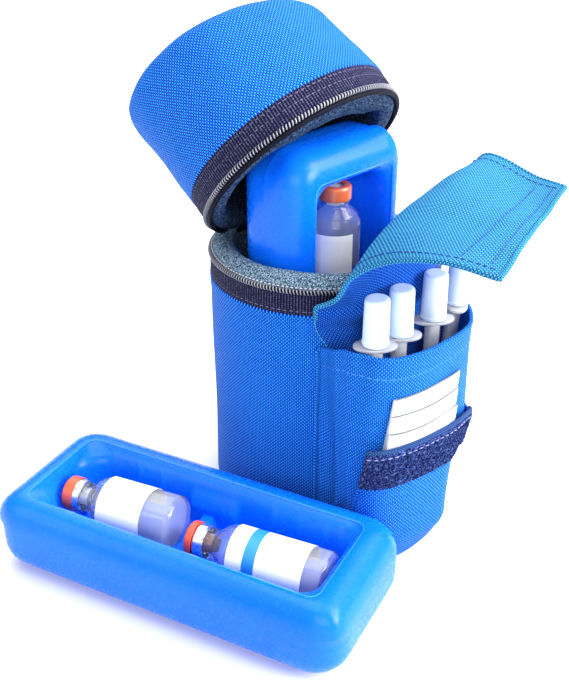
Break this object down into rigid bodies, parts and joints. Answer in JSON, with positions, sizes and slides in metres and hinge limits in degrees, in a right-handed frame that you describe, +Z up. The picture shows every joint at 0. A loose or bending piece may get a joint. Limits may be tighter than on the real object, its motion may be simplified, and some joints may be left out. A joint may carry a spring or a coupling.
{
  "type": "insulin cooling case",
  "caption": "Soft round insulated case with hinged zip lid, flap-covered pouch of syringes, swab pocket, and moulded blue cold packs holding vials.",
  "frame": {"origin": "centre of the case's flat round base", "axes": "+Z up along the case axis, -Y towards the pouch and its flap, +Y towards the lid's cloth hinge, the loose pack lies on the -X side"},
  "size_m": [0.1972, 0.1865, 0.2189],
  "materials": {
    "sleeve_cloth": "coarse plain-weave nylon, royal blue",
    "flap_cloth": "coarse plain-weave nylon, lighter blue face",
    "foam": "padded foam with a speckled charcoal face cloth",
    "zip_tape": "ribbed navy zip tape",
    "zip_coil": "moulded spiral coil",
    "zip_metal": "plated slider and pull",
    "hook_loop": "fuzzy navy hook-and-loop tape",
    "pack_plastic": "satin-gloss blow-moulded blue",
    "gel": null,
    "glass": "clear vial glass",
    "liquid": null,
    "stopper_grey": "grey stopper",
    "stopper_maroon": "dark red stopper",
    "crimp_orange": "orange-brown lacquered crimp",
    "crimp_silver": "plain crimp ring",
    "cap_orange": "orange flip cap",
    "label": "bare white label",
    "syringe_clear": "clear moulded barrel",
    "plunger": "white plunger",
    "cap_white": "frosted white cap",
    "needle_cap": "orange needle cover",
    "swab_paper": "white swab packet"
  },
  "bodies": {
    "case": {"case_shell": "sleeve_cloth", "case_foam": "foam", "case_zip_tape": "zip_tape", "case_zip_coil": "zip_coil", "hinge_tape": "zip_tape", "pocket_pouch": "sleeve_cloth", "swab_pocket": "sleeve_cloth", "loop_strip": "hook_loop", "flap_root_panel": "flap_cloth"},
    "lid": {"lid_shell": "sleeve_cloth", "lid_foam": "foam", "lid_zip_tape": "zip_tape", "lid_zip_coil": "zip_coil"},
    "flap": {"flap_end_panel": "flap_cloth", "hook_strip": "hook_loop"},
    "zip_slider": {"zip_slider": "zip_metal"},
    "zip_pull": {"zip_pull": "zip_metal"},
    "pack_a": {"pack_a_shell": "pack_plastic", "pack_a_gel": "gel", "pack_a_plug": "pack_plastic"},
    "pack_b": {"pack_b_shell": "pack_plastic", "pack_b_gel": "gel", "pack_b_plug": "pack_plastic"},
    "vial_1": {"vial_1_glass": "glass", "vial_1_liquid": "liquid", "vial_1_stopper": "stopper_grey", "vial_1_crimp": "crimp_orange", "vial_1_label": "label"},
    "vial_2": {"vial_2_glass": "glass", "vial_2_liquid": "liquid", "vial_2_stopper": "stopper_grey", "vial_2_crimp": "crimp_silver", "vial_2_cap": "cap_orange", "vial_2_label": "label"},
    "vial_3": {"vial_3_glass": "glass", "vial_3_liquid": "liquid", "vial_3_stopper": "stopper_maroon", "vial_3_crimp": "crimp_silver", "vial_3_cap": "cap_orange", "vial_3_label": "label"},
    "syringe_1": {"syringe_1_barrel": "syringe_clear", "syringe_1_plunger": "plunger", "syringe_1_thumb_cap": "cap_white", "syringe_1_needle_cap": "needle_cap"},
    "syringe_2": {"syringe_2_barrel": "syringe_clear", "syringe_2_plunger": "plunger", "syringe_2_thumb_cap": "cap_white", "syringe_2_needle_cap": "needle_cap"},
    "syringe_3": {"syringe_3_barrel": "syringe_clear", "syringe_3_plunger": "plunger", "syringe_3_thumb_cap": "cap_white", "syringe_3_needle_cap": "needle_cap"},
    "syringe_4": {"syringe_4_barrel": "syringe_clear", "syringe_4_plunger": "plunger", "syringe_4_thumb_cap": "cap_white", "syringe_4_needle_cap": "needle_cap"},
    "swab_1": {"swab_1": "swab_paper"},
    "swab_2": {"swab_2": "swab_paper"},
    "swab_3": {"swab_3": "swab_paper"}
  },
  "joints": [
    {"name": "lid_hinge", "type": "hinge", "parent": "case", "child": "lid", "pos_m": [-0.00279, 0.0399, 0.131], "axis": [-0.9879, -0.0691, -0.1392], "range_deg": [-50, 58]},
    {"name": "flap_fold", "type": "hinge", "parent": "case", "child": "flap", "pos_m": [0, -0.0552, 0.128], "axis": [-1, 0, 0], "range_deg": [-80, 0]},
    {"name": "zip_run", "type": "hinge", "parent": "case", "child": "zip_slider", "pos_m": [0, 0, 0.1173], "axis": [0, 0, -1], "range_deg": [0, 288]},
    {"name": "zip_pull_swing", "type": "hinge", "parent": "zip_slider", "child": "zip_pull", "pos_m": [0.03111, 0.04112, 0.1173], "axis": [0, 0, -1], "range_deg": [0, 80]},
    {"name": "pack_a_lift", "type": "slide", "parent": "case", "child": "pack_a", "axis": [0, 0, 1], "range_m": [0, 0.005]},
    {"name": "vial_1_take", "type": "slide", "parent": "pack_a", "child": "vial_1", "axis": [0, -1, 0], "range_m": [0, 0.017]},
    {"name": "pack_b_lift", "type": "slide", "parent": "case", "child": "pack_b", "axis": [0, 0, 1], "range_m": [0, 0.06]},
    {"name": "vial_2_lift", "type": "slide", "parent": "pack_b", "child": "vial_2", "axis": [0, 0, 1], "range_m": [0, 0.04]},
    {"name": "vial_3_lift", "type": "slide", "parent": "pack_b", "child": "vial_3", "axis": [0, 0, 1], "range_m": [0, 0.04]},
    {"name": "syringe_1_lift", "type": "slide", "parent": "case", "child": "syringe_1", "axis": [0, -0.2588, 0.9659], "range_m": [0, 0.009]},
    {"name": "syringe_2_lift", "type": "slide", "parent": "case", "child": "syringe_2", "axis": [0, -0.2588, 0.9659], "range_m": [0, 0.021]},
    {"name": "syringe_3_lift", "type": "slide", "parent": "case", "child": "syringe_3", "axis": [0, -0.1736, 0.9848], "range_m": [0, 0.033]},
    {"name": "syringe_4_lift", "type": "slide", "parent": "case", "child": "syringe_4", "axis": [0, 0, 1], "range_m": [0, 0.027]},
    {"name": "swab_1_lift", "type": "slide", "parent": "case", "child": "swab_1", "axis": [0, 0, 1], "range_m": [0, 0.045]},
    {"name": "swab_2_lift", "type": "slide", "parent": "case", "child": "swab_2", "axis": [0, 0, 1], "range_m": [0, 0.045]},
    {"name": "swab_3_lift", "type": "slide", "parent": "case", "child": "swab_3", "axis": [0, 0, 1], "range_m": [0, 0.045]}
  ]
}
